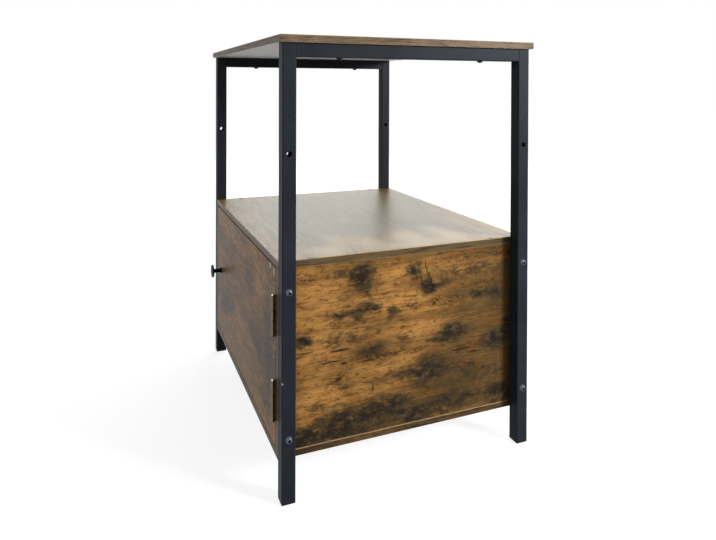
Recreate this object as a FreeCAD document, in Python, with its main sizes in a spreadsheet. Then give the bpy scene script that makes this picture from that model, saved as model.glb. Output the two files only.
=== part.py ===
# Nightstand: two square-tube side frames, a top board, an open space and a cabinet with one door.
# Millimetres. X runs right seen from the door side, Y to the rear and Z up. The origin lies on the
# floor in the middle of everything, so half of the knob's reach counts on the front side.
import FreeCAD, Part
import os
import re
import Sketcher

doc = FreeCAD.newDocument("Nightstand")

# Driving sizes, one row each in the sheet
SIZES = {
    "frame_width": 490,
    "frame_depth": 390,
    "frame_height": 600,
    "tube": 19,
    "tube_wall": 1.2,
    "tube_corner": 1.5,
    "plug_head": 4,
    "plug_depth": 14,
    "plug_fit": 0.1,
    "top_thickness": 10,
    "top_overhang": 5,
    "arris": 0.8,
    "panel": 10,
    "cabinet_floor": 48,
    "cabinet_height": 263,
    "back_panel": 3,
    "back_clear": 3,
    "groove_depth": 4,
    "groove_fit": 0.1,
    "screw_fit": 0.05,
    "rail_screw_spread": 225,
    "rail_screw_head": 10,
    "rail_screw_head_height": 3,
    "rail_screw_shank": 5,
    "rail_screw_bite": 8,
    "rail_screw_play": 0.3,
    "cross_slot": 1.2,
    "cross_span": 5,
    "cross_depth": 1.6,
    "leg_hole": 7.5,
    "spare_hole_height": 455,
    "bolt_edge": 35.5,
    "bolt_head": 10.5,
    "bolt_head_height": 3.3,
    "bolt_shank": 6,
    "bolt_bite": 8,
    "bolt_socket": 4,
    "bolt_socket_depth": 2,
    "insert_outer": 9,
    "insert_length": 9,
    "carcass_screw_inset": 49,
    "carcass_screw_head": 8,
    "carcass_screw_shank": 4,
    "carcass_screw_length": 38,
    "cap_outer": 9.5,
    "cap_thickness": 0.6,
    "dowel": 6,
    "dowel_spread": 120,
    "dowel_in_board": 7,
    "dowel_in_side": 18,
    "door_gap": 2,
    "hinge_length": 55,
    "hinge_spread": 114,
    "hinge_barrel": 5,
    "hinge_pin": 3,
    "hinge_pin_play": 0.05,
    "hinge_leaf": 1,
    "hinge_leaf_gap": 0.4,
    "hinge_leaf_reach": 12.4,
    "hinge_stand_off": 4.2,
    "knuckle_gap": 0.3,
    "pin_head": 4.4,
    "pin_head_height": 2,
    "hinge_screw_spread": 34,
    "hinge_screw_head": 4.4,
    "hinge_screw_shank": 2.5,
    "hinge_screw_length": 8.5,
    "knob_reach": 19,
    "knob_head": 24,
    "knob_head_thickness": 3.5,
    "knob_head_round": 1.5,
    "knob_stem": 7.5,
    "knob_base": 10.5,
    "knob_base_thickness": 2.5,
    "knob_height": 181,
    "knob_inset": 36,
    "knob_screw_head": 8,
    "knob_screw_head_height": 2.5,
    "knob_screw_shank": 4,
    "knob_screw_bite": 12,
    "catch_inset": 40,
    "catch_length": 44,
    "catch_depth": 15,
    "catch_height": 14,
    "catch_clearance": 0.4,
    "catch_screw_spread": 37,
    "magnet_length": 28,
    "magnet_depth": 10,
    "magnet_height": 6,
    "magnet_proud": 0.4,
    "magnet_fit": 0.1,
    "strike_length": 36,
    "strike_height": 9,
    "strike_thickness": 1.2,
    "small_screw_head": 4.6,
    "small_screw_shank": 2.5,
    "small_screw_bite": 7,
}

sheet = doc.addObject("Spreadsheet::Sheet", "Sizes")
for row, (alias, size) in enumerate(SIZES.items(), start=1):
    sheet.set(f"A{row}", alias)
    sheet.set(f"B{row}", str(size))
    sheet.setAlias(f"B{row}", alias)
doc.recompute()

# Places that several pieces share, as sums of sheet sizes
FRONT = "((knob_reach - top_overhang - frame_depth) / 2)"
REAR = f"({FRONT} + frame_depth)"
MIDDLE = f"({FRONT} + frame_depth / 2)"
OUTSIDE = "(frame_width / 2)"
LEG_INSIDE = "(frame_width / 2 - tube)"
SIDE_INSIDE = "(frame_width / 2 - tube - panel)"
SIDE_MIDDLE = "(frame_width / 2 - tube - panel / 2)"
ROOM_FLOOR = "(cabinet_floor + panel)"
ROOM_TOP = "(cabinet_floor + cabinet_height - panel)"
CABINET_TOP = "(cabinet_floor + cabinet_height)"
CABINET_MIDDLE = "(cabinet_floor + cabinet_height / 2)"
RAIL_FLOOR = "(frame_height - tube)"
BACK_FRONT = f"({REAR} - tube / 2 - insert_outer / 2 - back_clear - back_panel)"
HINGE_X = f"({SIDE_INSIDE} - hinge_leaf - hinge_leaf_gap / 2)"
HINGE_Y = f"({FRONT} - hinge_stand_off)"
HINGE_SCREW_Y = f"({FRONT} + panel / 2)"
DOOR_LEFT = f"(door_gap - {SIDE_INSIDE})"
DOOR_RIGHT = f"({SIDE_INSIDE} - 2 * hinge_leaf - hinge_leaf_gap)"
DOOR_BACK = f"({FRONT} + panel)"
KNOB_X = f"({DOOR_LEFT} + knob_inset)"
CATCH_X = f"(catch_inset - {SIDE_INSIDE} + catch_length / 2)"
CATCH_FRONT = f"({DOOR_BACK} + strike_thickness + catch_clearance + magnet_proud)"
CATCH_MIDDLE = f"({ROOM_TOP} - catch_height / 2)"

# Turns that lay a piece drawn along Z on another axis
UP = FreeCAD.Rotation()
DOWN = FreeCAD.Rotation(FreeCAD.Vector(1, 0, 0), 180)
RIGHT = FreeCAD.Rotation(FreeCAD.Vector(0, 1, 0), 90)
LEFT = FreeCAD.Rotation(FreeCAD.Vector(0, 1, 0), -90)
FORWARD = FreeCAD.Rotation(FreeCAD.Vector(1, 0, 0), 90)
REARWARD = FreeCAD.Rotation(FreeCAD.Vector(1, 0, 0), -90)

parts = {}


def sized(text):
    """Turn plain size words into an expression that reads the sheet."""
    return re.sub(r"[a-z_]{2,}(?!\()\b", r"Sizes.\g<0>", text)


def bind(piece, **expressions):
    for name, text in expressions.items():
        piece.setExpression(name, sized(text))
    return piece


def place(piece, x, y, z, turn=UP):
    piece.Placement = FreeCAD.Placement(FreeCAD.Vector(), turn)
    for axis, text in zip("xyz", (x, y, z)):
        piece.setExpression(f"Placement.Base.{axis}", sized(text))
    return piece


def box(x, y, z, length, width, height):
    piece = doc.addObject("Part::Box", "Block")
    bind(piece, Length=length, Width=width, Height=height)
    return place(piece, x, y, z)


def rod(x, y, z, radius, height, turn=UP):
    piece = doc.addObject("Part::Cylinder", "Rod")
    bind(piece, Radius=radius, Height=height)
    return place(piece, x, y, z, turn)


def cut(base, *tools):
    for tool in tools:
        piece = doc.addObject("Part::Cut", "Trimmed")
        piece.Base = base
        piece.Tool = tool
        base = piece
    return base


def fuse(*shapes):
    piece = doc.addObject("Part::MultiFuse", "Joined")
    piece.Shapes = shapes
    return piece


def group(solids):
    piece = doc.addObject("Part::Compound", "Group")
    piece.Links = solids
    return piece


def copies(master, places):
    """The same piece at several places, each (x, y, z, turn)."""
    links = []
    for x, y, z, turn in places:
        link = doc.addObject("App::Link", "Copy")
        link.LinkedObject = master
        link.LinkTransform = True
        links.append(place(link, x, y, z, turn))
    return group(links)


def keep(label, piece):
    piece.Label = label
    parts[label] = piece
    return piece


def rectangle(body, wide, deep):
    """A sketch on the body's own XY plane with one corner on its origin."""
    sketch = body.newObject("Sketcher::SketchObject", "Outline")
    plane = next(item for item in body.Origin.OriginFeatures if item.Role == "XY_Plane")
    sketch.AttachmentSupport = (plane, [""])
    sketch.MapMode = "FlatFace"
    reach = SIZES["tube"]
    corners = [(0, 0), (reach, 0), (reach, reach), (0, reach)]
    for start, end in zip(corners, corners[1:] + corners[:1]):
        sketch.addGeometry(Part.LineSegment(FreeCAD.Vector(*start), FreeCAD.Vector(*end)))
    for line in range(len(corners)):
        sketch.addConstraint(Sketcher.Constraint("Coincident", line, 2, (line + 1) % len(corners), 1))
        sketch.addConstraint(Sketcher.Constraint(("Horizontal", "Vertical")[line % 2], line))
    sketch.addConstraint(Sketcher.Constraint("Coincident", 0, 1, -1, 1))
    across = sketch.addConstraint(Sketcher.Constraint("DistanceX", 0, 1, 0, 2, reach))
    along = sketch.addConstraint(Sketcher.Constraint("DistanceY", 1, 1, 1, 2, reach))
    sketch.setExpression(f"Constraints[{across}]", sized(wide))
    sketch.setExpression(f"Constraints[{along}]", sized(deep))
    return sketch


def bar(x, y, z, wide, deep, tall, turn=UP):
    """A padded rectangle; returns its body and the pad."""
    body = doc.addObject("PartDesign::Body", "Bar")
    pad = body.newObject("PartDesign::Pad", "Pad")
    pad.Profile = rectangle(body, wide, deep)
    bind(pad, Length=tall)
    place(body, x, y, z, turn)
    doc.recompute()
    return body, pad


def board(x, y, z, wide, deep, tall):
    """A panel whose edges are all eased by a small chamfer."""
    body, pad = bar(x, y, z, wide, deep, tall)
    ease = body.newObject("PartDesign::Chamfer", "Ease")
    ease.Base = (pad, [""])
    ease.UseAllEdges = True
    bind(ease, Size="arris")
    return body


def along_edges(shape):
    """Names of the edges that run the length of a pad."""
    names = []
    for number, edge in enumerate(shape.Edges, start=1):
        start, end = (vertex.Point for vertex in edge.Vertexes)
        if abs((end - start).normalize().z) > 0.9:
            names.append(f"Edge{number}")
    return names


def rounded_bar(x, y, z, wide, tall, radius, turn=UP):
    """A square bar with rounded long edges, drawn along Z and then turned."""
    body, pad = bar(x, y, z, wide, wide, tall, turn)
    fillet = body.newObject("PartDesign::Fillet", "Round")
    fillet.Base = (pad, along_edges(pad.Shape))
    bind(fillet, Radius=radius)
    return body


def dome_headed(head, head_height, shank, length):
    """A screw along Z: the dome below the XY plane, the shank above it."""
    dome = f"(({head} * {head} / 4 + {head_height} * {head_height}) / (2 * {head_height}))"
    ball = doc.addObject("Part::Sphere", "Ball")
    bind(ball, Radius=dome)
    place(ball, "0", "0", f"{dome} - {head_height}")
    crown = doc.addObject("Part::Common", "Crown")
    crown.Base = ball
    crown.Tool = rod("0", "0", f"-{head_height}", f"{head} / 2", head_height)
    return fuse(crown, rod("0", "0", "0", f"{shank} / 2", length))


def countersunk(head, shank, length, fit="0"):
    """A flat-headed screw along Z, its head's face on the XY plane; fit makes it the hole for one."""
    cone = doc.addObject("Part::Cone", "Cone")
    bind(cone, Radius1=f"{head} / 2 + {fit}", Radius2=f"{shank} / 2 + {fit}", Height=f"({head} - {shank}) / 2")
    return fuse(cone, rod("0", "0", "0", f"{shank} / 2 + {fit}", f"{length} + {fit}"))


def cross_slots(floor):
    """Two crossed slots that open at the height floor and go up."""
    lengthwise = box("-cross_span / 2", "-cross_slot / 2", floor, "cross_span", "cross_slot", "cross_depth")
    crosswise = box("-cross_slot / 2", "-cross_span / 2", floor, "cross_slot", "cross_span", "cross_depth")
    return lengthwise, crosswise


# Places of the legs and what is fastened to them
LEG_X = {"left": f"-{OUTSIDE}", "right": LEG_INSIDE}
LEG_Y = {"front": FRONT, "rear": f"({REAR} - tube)"}
LEGS = [(side, end) for side in LEG_X for end in LEG_Y]
BOLT_HEIGHTS = ("cabinet_floor + bolt_edge", f"{CABINET_TOP} - bolt_edge")
OUTWARD_FACE = {"left": f"-{OUTSIDE}", "right": OUTSIDE}
SIDE_FACE = {"left": f"-{LEG_INSIDE}", "right": LEG_INSIDE}
INWARD = {"left": RIGHT, "right": LEFT}
BOLT_PLACES = [
    (OUTWARD_FACE[side], f"{LEG_Y[end]} + tube / 2", height, INWARD[side])
    for side, end in LEGS
    for height in BOLT_HEIGHTS
]
RAIL_SCREW_PLACES = {
    side: [(f"{x} + tube / 2", f"{MIDDLE} {sign} rail_screw_spread / 2", RAIL_FLOOR, UP) for sign in "+-"]
    for side, x in LEG_X.items()
}

# Side frames: legs with three cross holes, rails between them, plugs in the feet
for side, end in LEGS:
    x, y = LEG_X[side], LEG_Y[end]
    tall = "frame_height - plug_head"
    leg = rounded_bar(x, y, "plug_head", "tube", tall, "tube_corner")
    bore = box(f"{x} + tube_wall", f"{y} + tube_wall", "plug_head", "tube - 2 * tube_wall", "tube - 2 * tube_wall", tall)
    holes = [
        rod(x, f"{y} + tube / 2", height, "leg_hole / 2", "tube", RIGHT)
        for height in (*BOLT_HEIGHTS, "spare_hole_height")
    ]
    keep(f"{side}_{end}_leg", cut(leg, bore, *holes))

    inside = "tube - 2 * tube_wall - 2 * plug_fit"
    head = rounded_bar(x, y, "0", "tube", "plug_head", "tube_corner")
    offset = "tube_wall + plug_fit"
    stem = box(f"{x} + {offset}", f"{y} + {offset}", "0", inside, inside, "plug_head + plug_depth")
    keep(f"{side}_{end}_foot_plug", fuse(head, stem))

for side in LEG_X:
    x, y = LEG_X[side], f"({FRONT} + tube)"
    span = "frame_depth - 2 * tube"
    tube = rounded_bar(x, y, "frame_height", "tube", span, "tube_corner", REARWARD)
    bore = box(f"{x} + tube_wall", y, f"{RAIL_FLOOR} + tube_wall", "tube - 2 * tube_wall", span, "tube - 2 * tube_wall")
    hole = rod("0", "0", "0", "rail_screw_shank / 2 + rail_screw_play", "tube")
    keep(f"{side}_top_rail", cut(tube, bore, copies(hole, RAIL_SCREW_PLACES[side])))

# Top board and the screws that hold it from below
top = board(
    f"-{OUTSIDE} - top_overhang", f"{FRONT} - top_overhang", "frame_height",
    "frame_width + 2 * top_overhang", "frame_depth + 2 * top_overhang", "top_thickness",
)
rail_screws = RAIL_SCREW_PLACES["left"] + RAIL_SCREW_PLACES["right"]
pilot = rod("0", "0", "tube", "rail_screw_shank / 2 + screw_fit", "rail_screw_bite + screw_fit")
keep("top_board", cut(top, copies(pilot, rail_screws)))
rail_screw = dome_headed("rail_screw_head", "rail_screw_head_height", "rail_screw_shank", "tube + rail_screw_bite")
rail_screw = cut(rail_screw, *cross_slots("-rail_screw_head_height"))
keep("top_board_screws", copies(rail_screw, rail_screws))

# Leg bolts, and the threaded inserts in the cabinet sides that take them
bolt = dome_headed("bolt_head", "bolt_head_height", "bolt_shank", "tube + bolt_bite")
socket = doc.addObject("Part::Prism", "Socket")
socket.Polygon = 6
bind(socket, Circumradius="bolt_socket / sqrt(3)", Height="bolt_socket_depth")
place(socket, "0", "0", "-bolt_head_height")
keep("leg_bolts", copies(cut(bolt, socket), BOLT_PLACES))
INSERT_PLACES = [
    (SIDE_FACE[side], f"{LEG_Y[end]} + tube / 2", height, INWARD[side])
    for side, end in LEGS
    for height in BOLT_HEIGHTS
]
sleeve = rod("0", "0", "0", "insert_outer / 2", "insert_length")
thread = rod("0", "0", "0", "bolt_shank / 2 + screw_fit", "insert_length")
keep("leg_bolt_inserts", copies(cut(sleeve, thread), INSERT_PLACES))
insert_hole = rod("0", "0", "0", "insert_outer / 2 + screw_fit", "insert_length + screw_fit")
insert_holes = {
    side: copies(insert_hole, [item for item in INSERT_PLACES if item[0] == SIDE_FACE[side]])
    for side in LEG_X
}

# Screws and dowels that join the cabinet's top and bottom to its sides
SIDE_LINES = (f"-{SIDE_MIDDLE}", SIDE_MIDDLE)
SCREW_LINES = (f"{FRONT} + carcass_screw_inset", f"{REAR} - carcass_screw_inset")
DOWEL_LINES = (f"{MIDDLE} - dowel_spread / 2", f"{MIDDLE} + dowel_spread / 2")
TOP_SCREW_PLACES = [(x, y, CABINET_TOP, DOWN) for x in SIDE_LINES for y in SCREW_LINES]
BOTTOM_SCREW_PLACES = [(x, y, "cabinet_floor", UP) for x in SIDE_LINES for y in SCREW_LINES]
DOWEL_PLACES = [
    (x, y, z, turn)
    for x in SIDE_LINES
    for y in DOWEL_LINES
    for z, turn in ((ROOM_TOP, DOWN), (ROOM_FLOOR, UP))
]
carcass_sizes = ("carcass_screw_head", "carcass_screw_shank", "carcass_screw_length")
carcass_screw = countersunk(*carcass_sizes)
carcass_hole = countersunk(*carcass_sizes, fit="screw_fit")
cap = rod("0", "0", "-cap_thickness", "cap_outer / 2", "cap_thickness")
dowel = rod("0", "0", "-dowel_in_board", "dowel / 2", "dowel_in_board + dowel_in_side")
dowel_hole = rod(
    "0", "0", "-dowel_in_board - screw_fit", "dowel / 2 + screw_fit",
    "dowel_in_board + dowel_in_side + 2 * screw_fit",
)
keep("cabinet_top_screws", copies(carcass_screw, TOP_SCREW_PLACES))
keep("cabinet_bottom_screws", copies(carcass_screw, BOTTOM_SCREW_PLACES))
keep("cabinet_screw_caps", copies(cap, TOP_SCREW_PLACES))
keep("cabinet_dowels", copies(dowel, DOWEL_PLACES))
top_screw_holes = copies(carcass_hole, TOP_SCREW_PLACES)
bottom_screw_holes = copies(carcass_hole, BOTTOM_SCREW_PLACES)
dowel_holes = copies(dowel_hole, DOWEL_PLACES)

# Cabinet carcass: top and bottom lie over and under the sides, the back sits in a groove all round
GROOVE_FRONT = f"({BACK_FRONT} - groove_fit)"
GROOVE_WIDTH = "(back_panel + 2 * groove_fit)"
groove = box(
    f"-{SIDE_INSIDE} - groove_depth", GROOVE_FRONT, f"{ROOM_FLOOR} - groove_depth",
    f"2 * ({SIDE_INSIDE} + groove_depth)", GROOVE_WIDTH, f"{ROOM_TOP} - {ROOM_FLOOR} + 2 * groove_depth",
)
catch_screw = countersunk("small_screw_head", "small_screw_shank", "catch_height + small_screw_bite")
catch_screw_hole = countersunk(
    "small_screw_head", "small_screw_shank", "catch_height + small_screw_bite", fit="screw_fit",
)
CATCH_SCREW_PLACES = [
    (f"{CATCH_X} {sign} catch_screw_spread / 2", f"{CATCH_FRONT} + catch_depth / 2", f"{ROOM_TOP} - catch_height", UP)
    for sign in "+-"
]
catch_screw_holes = copies(catch_screw_hole, CATCH_SCREW_PLACES)
for name, height in (("top", ROOM_TOP), ("bottom", "cabinet_floor")):
    piece = board(f"-{LEG_INSIDE}", FRONT, height, f"2 * {LEG_INSIDE}", "frame_depth", "panel")
    screw_holes = top_screw_holes if name == "top" else bottom_screw_holes
    piece = cut(piece, groove, dowel_holes, screw_holes, catch_screw_holes)
    keep(f"cabinet_{name}_panel", piece)

# Hinges: two leaves and a pin each, the outer knuckles on the cabinet and the middle one on the door
HINGE_HEIGHTS = {
    "upper": f"({CABINET_MIDDLE} + hinge_spread / 2)",
    "lower": f"({CABINET_MIDDLE} - hinge_spread / 2)",
}
HINGE_SCREW_HEIGHTS = [
    f"{height} {sign} hinge_screw_spread / 2"
    for height in HINGE_HEIGHTS.values()
    for sign in "+-"
]
LEAF_FACE = f"({SIDE_INSIDE} - hinge_leaf)"
DOOR_LEAF_FACE = f"({DOOR_RIGHT} + hinge_leaf)"
SIDE_SCREW_PLACES = [(LEAF_FACE, HINGE_SCREW_Y, height, RIGHT) for height in HINGE_SCREW_HEIGHTS]
DOOR_SCREW_PLACES = [(DOOR_LEAF_FACE, HINGE_SCREW_Y, height, LEFT) for height in HINGE_SCREW_HEIGHTS]
hinge_sizes = ("hinge_screw_head", "hinge_screw_shank", "hinge_screw_length")
hinge_screw = countersunk(*hinge_sizes)
hinge_screw_hole = countersunk(*hinge_sizes, fit="screw_fit")
keep("hinge_side_screws", copies(hinge_screw, SIDE_SCREW_PLACES))
keep("hinge_door_screws", copies(hinge_screw, DOOR_SCREW_PLACES))
side_screw_holes = copies(hinge_screw_hole, SIDE_SCREW_PLACES)
door_screw_holes = copies(hinge_screw_hole, DOOR_SCREW_PLACES)
RELIEF = "hinge_barrel / 2 + knuckle_gap"
KNUCKLE = "(hinge_length / 3)"
for name, middle in HINGE_HEIGHTS.items():
    low = f"({middle} - hinge_length / 2)"
    pin_bore = rod(HINGE_X, HINGE_Y, low, "hinge_pin / 2 + hinge_pin_play", "hinge_length")

    plate = box(LEAF_FACE, HINGE_Y, low, "hinge_leaf", "hinge_leaf_reach", "hinge_length")
    window = box(LEAF_FACE, HINGE_Y, f"{low} + {KNUCKLE}", "hinge_leaf", RELIEF, KNUCKLE)
    ends = [
        rod(HINGE_X, HINGE_Y, f"{low} + {start} * {KNUCKLE}", "hinge_barrel / 2", KNUCKLE)
        for start in (0, 2)
    ]
    leaf = fuse(cut(plate, window), *ends)
    keep(f"{name}_hinge_side_leaf", cut(leaf, pin_bore, side_screw_holes))

    plate = box(DOOR_RIGHT, HINGE_Y, low, "hinge_leaf", "hinge_leaf_reach", "hinge_length")
    windows = [
        box(DOOR_RIGHT, HINGE_Y, f"{low} + {start}", "hinge_leaf", RELIEF, f"{KNUCKLE} + knuckle_gap")
        for start in ("0", f"2 * {KNUCKLE} - knuckle_gap")
    ]
    centre = rod(
        HINGE_X, HINGE_Y, f"{low} + {KNUCKLE} + knuckle_gap", "hinge_barrel / 2", f"{KNUCKLE} - 2 * knuckle_gap",
    )
    leaf = fuse(cut(plate, *windows), centre)
    keep(f"{name}_hinge_door_leaf", cut(leaf, pin_bore, door_screw_holes))

    pin = dome_headed("pin_head", "pin_head_height", "hinge_pin", "hinge_length")
    keep(f"{name}_hinge_pin", copies(pin, [(HINGE_X, HINGE_Y, f"{low} + hinge_length", DOWN)]))

# Cabinet sides and back
SIDE_PANEL_X = {"left": f"-{LEG_INSIDE}", "right": SIDE_INSIDE}
for side, x in SIDE_PANEL_X.items():
    piece = board(x, FRONT, ROOM_FLOOR, "panel", "frame_depth", f"{ROOM_TOP} - {ROOM_FLOOR}")
    tools = [groove, dowel_holes, top_screw_holes, bottom_screw_holes, insert_holes[side]]
    if side == "right":
        tools.append(side_screw_holes)
    keep(f"cabinet_{side}_side", cut(piece, *tools))
back = box(
    f"groove_fit - {SIDE_INSIDE} - groove_depth", BACK_FRONT, f"{ROOM_FLOOR} - groove_depth + groove_fit",
    f"2 * ({SIDE_INSIDE} + groove_depth - groove_fit)", "back_panel",
    f"{ROOM_TOP} - {ROOM_FLOOR} + 2 * (groove_depth - groove_fit)",
)
keep("cabinet_back_panel", back)

# Magnetic catch under the cabinet top, and its strike plate on the door
catch = box(
    f"{CATCH_X} - catch_length / 2", CATCH_FRONT, f"{ROOM_TOP} - catch_height",
    "catch_length", "catch_depth", "catch_height",
)
pocket = box(
    f"{CATCH_X} - magnet_length / 2 - magnet_fit", CATCH_FRONT, f"{CATCH_MIDDLE} - magnet_height / 2 - magnet_fit",
    "magnet_length + 2 * magnet_fit", "magnet_depth - magnet_proud + magnet_fit", "magnet_height + 2 * magnet_fit",
)
keep("catch_housing", cut(catch, pocket, catch_screw_holes))
magnet = box(
    f"{CATCH_X} - magnet_length / 2", f"{CATCH_FRONT} - magnet_proud", f"{CATCH_MIDDLE} - magnet_height / 2",
    "magnet_length", "magnet_depth", "magnet_height",
)
keep("catch_magnet", magnet)
keep("catch_screws", copies(catch_screw, CATCH_SCREW_PLACES))
STRIKE_PLACES = [(CATCH_X, f"{DOOR_BACK} + strike_thickness", CATCH_MIDDLE, FORWARD)]
strike_sizes = ("small_screw_head", "small_screw_shank", "strike_thickness + small_screw_bite")
strike_screw_hole = copies(countersunk(*strike_sizes, fit="screw_fit"), STRIKE_PLACES)
plate = box(
    f"{CATCH_X} - strike_length / 2", DOOR_BACK, f"{CATCH_MIDDLE} - strike_height / 2",
    "strike_length", "strike_thickness", "strike_height",
)
keep("strike_plate", cut(plate, strike_screw_hole))
keep("strike_screw", copies(countersunk(*strike_sizes), STRIKE_PLACES))

# Door and knob
door = board(
    DOOR_LEFT, FRONT, f"{ROOM_FLOOR} + door_gap",
    f"{DOOR_RIGHT} - {DOOR_LEFT}", "panel", f"{ROOM_TOP} - {ROOM_FLOOR} - 2 * door_gap",
)
knob_hole = rod(KNOB_X, DOOR_BACK, "knob_height", "knob_screw_shank / 2 + screw_fit", "panel", FORWARD)
keep("door_panel", cut(door, door_screw_holes, strike_screw_hole, knob_hole))

STEM_LENGTH = "(knob_reach - knob_head_thickness)"
base = rod(KNOB_X, FRONT, "knob_height", "knob_base / 2", "knob_base_thickness", FORWARD)
stem = rod(KNOB_X, FRONT, "knob_height", "knob_stem / 2", STEM_LENGTH, FORWARD)
disc = rod(KNOB_X, f"{FRONT} - {STEM_LENGTH}", "knob_height", "knob_head / 2", "knob_head_thickness", FORWARD)
doc.recompute()
rounded = doc.addObject("Part::Fillet", "Rounded")
rounded.Base = disc
rims = [number for number, edge in enumerate(disc.Shape.Edges, start=1) if edge.Closed and len(edge.Vertexes) == 1]
rounded.Edges = [(number, sheet.knob_head_round, sheet.knob_head_round) for number in rims]
tapped = rod(KNOB_X, FRONT, "knob_height", "knob_screw_shank / 2 + screw_fit", "knob_screw_bite + screw_fit", FORWARD)
keep("door_knob", cut(fuse(base, stem, rounded), tapped))
knob_screw = dome_headed("knob_screw_head", "knob_screw_head_height", "knob_screw_shank", "panel + knob_screw_bite")
keep("knob_screw", copies(knob_screw, [(KNOB_X, DOOR_BACK, "knob_height", FORWARD)]))

doc.recompute()
for item in doc.Objects:
    if "Invalid" in item.State or "Error" in item.State:
        raise RuntimeError(f"{item.Label} failed: {item.State}")

os.makedirs("parts", exist_ok=True)
for label, piece in parts.items():
    shape = piece.Shape
    if shape.isNull() or not shape.isValid() or not shape.Solids:
        raise RuntimeError(f"{label} has no valid solid")
    shape.exportStep(f"parts/{label}.step")
    print(label, len(shape.Solids), "solids", round(shape.Volume), "mm3")
print(len(parts), "sub-parts")
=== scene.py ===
# %% [markdown]
# # A bedside stand in black tube and rustic brown board
# The stand is a welded frame of square steel tube, a top board, and a small
# cabinet with one door that hangs between the four legs.
# Its shapes are made in CAD and packed, so this lesson adds what CAD does not
# have: light, a camera and finishes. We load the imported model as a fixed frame
# and never move it. Lengths are in metres, and finishes count in mm.

# %% Load the frame
import math
import random

import bpy
from mathutils import Matrix, Vector

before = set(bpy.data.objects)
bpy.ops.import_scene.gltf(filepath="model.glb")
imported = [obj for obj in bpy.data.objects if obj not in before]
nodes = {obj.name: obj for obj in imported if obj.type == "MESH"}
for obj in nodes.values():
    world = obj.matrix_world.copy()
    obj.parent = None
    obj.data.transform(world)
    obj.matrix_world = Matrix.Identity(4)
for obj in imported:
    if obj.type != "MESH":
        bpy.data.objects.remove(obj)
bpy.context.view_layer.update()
MM = 0.001

# %% [markdown]
# ## Two helpers
# Colours are given as sRGB hex, the way a paint tool shows them, but a
# shader works in linear light, so one function converts. The other adds a node
# to a tree, sets it up and plugs it in: a socket among its inputs is linked, and
# any other value is typed into the field. A Mix node has sockets for every kind
# of value, so what it takes to blend colours is kept by name.


# %% Colour and node helpers
def linear(code):
    """The linear RGBA of an sRGB hex colour."""
    parts = [int(code[i:i + 2], 16) / 255 for i in (1, 3, 5)]
    return [c / 12.92 if c <= 0.04045 else ((c + 0.055) / 1.055) ** 2.4 for c in parts] + [1.0]


def add(tree, kind, inputs=None, give=0, stops=None, **settings):
    """Adds a node with its settings, inputs and ramp stops, and gives one of its outputs."""
    made = tree.nodes.new("ShaderNode" + kind)
    for name, value in settings.items():
        setattr(made, name, value)
    for key, value in (inputs or {}).items():
        if isinstance(value, bpy.types.NodeSocket):
            tree.links.new(value, made.inputs[key])
        else:
            made.inputs[key].default_value = value
    for index, (position, colour) in enumerate(stops or []):
        marks = made.color_ramp.elements
        stop = marks[index] if index < 2 else marks.new(position)
        stop.position, stop.color = position, linear(colour)
    return made.outputs[give] if made.outputs else None


# In a Mix node set to colours, inputs 6 and 7 take them and output 2 gives the blend.
BLEND = {"give": 2, "data_type": "RGBA"}
print("white reads as", linear("#ffffff")[:3])

# %% [markdown]
# ## The camera
# The picture we follow was taken from the stand's right front, with the lens
# level at a height of about 0.54 m, so that upright legs stay upright. Tilting
# the camera down would make the legs lean together. A view camera slides its
# lens instead, and in Blender that is the shift. The numbers come from fitting a
# camera to the corners of the boards and legs.

# %% Camera
PICTURE_WIDTH, PICTURE_HEIGHT = 716, 540
FOCAL_PIXELS = 586.95
LENS_AXIS = (332.98, 89.63)
CAMERA_PLACE = Vector((0.9716, -0.40021, 0.5446))
CAMERA_TURN, CAMERA_DIP, CAMERA_ROLL = 68.811, 0.445, 0.161
SENSOR_WIDTH, NEAREST = 36.0, 0.01

camera = bpy.data.objects.new("camera", bpy.data.cameras.new("camera"))
bpy.context.scene.collection.objects.link(camera)
bpy.context.scene.camera = camera
camera.data.sensor_width = SENSOR_WIDTH
camera.data.lens = FOCAL_PIXELS / PICTURE_WIDTH * SENSOR_WIDTH
camera.data.shift_x = (PICTURE_WIDTH / 2 - LENS_AXIS[0]) / PICTURE_WIDTH
camera.data.shift_y = (LENS_AXIS[1] - PICTURE_HEIGHT / 2) / PICTURE_WIDTH
camera.data.clip_start = NEAREST
camera.matrix_world = (
    Matrix.Translation(CAMERA_PLACE)
    @ Matrix.Rotation(math.radians(CAMERA_TURN), 4, "Z")
    @ Matrix.Rotation(math.radians(90 - CAMERA_DIP), 4, "X")
    @ Matrix.Rotation(math.radians(CAMERA_ROLL), 4, "Z")
)
print("lens", round(camera.data.lens, 2), "mm, shift", round(camera.data.shift_y, 3))

# %% [markdown]
# ## Studio light
# The stand was taken on white. A white world does the background: it is plain
# white where the camera or a reflection looks at it, and dim as a lamp. Soft
# panels add the direction. The key hangs at the right rear, so the rear leg
# throws a narrow shadow on the cabinet. A wide panel stands behind, and its
# sheen shows on the boards seen at a low angle. A small one in front makes
# the glint on bolts and pins.

# %% World
bpy.context.scene.view_settings.view_transform = "Standard"


def seen_rays(tree):
    """1 for a ray that looks, also by way of gloss or glass, and 0 for one that only lights."""
    rays = [
        add(tree, "LightPath", give=f"Is {kind} Ray") for kind in ("Camera", "Glossy", "Transmission")
    ]
    pair = add(tree, "Math", {0: rays[0], 1: rays[1]}, operation="MAXIMUM")
    return add(tree, "Math", {0: pair, 1: rays[2]}, operation="MAXIMUM")


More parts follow.
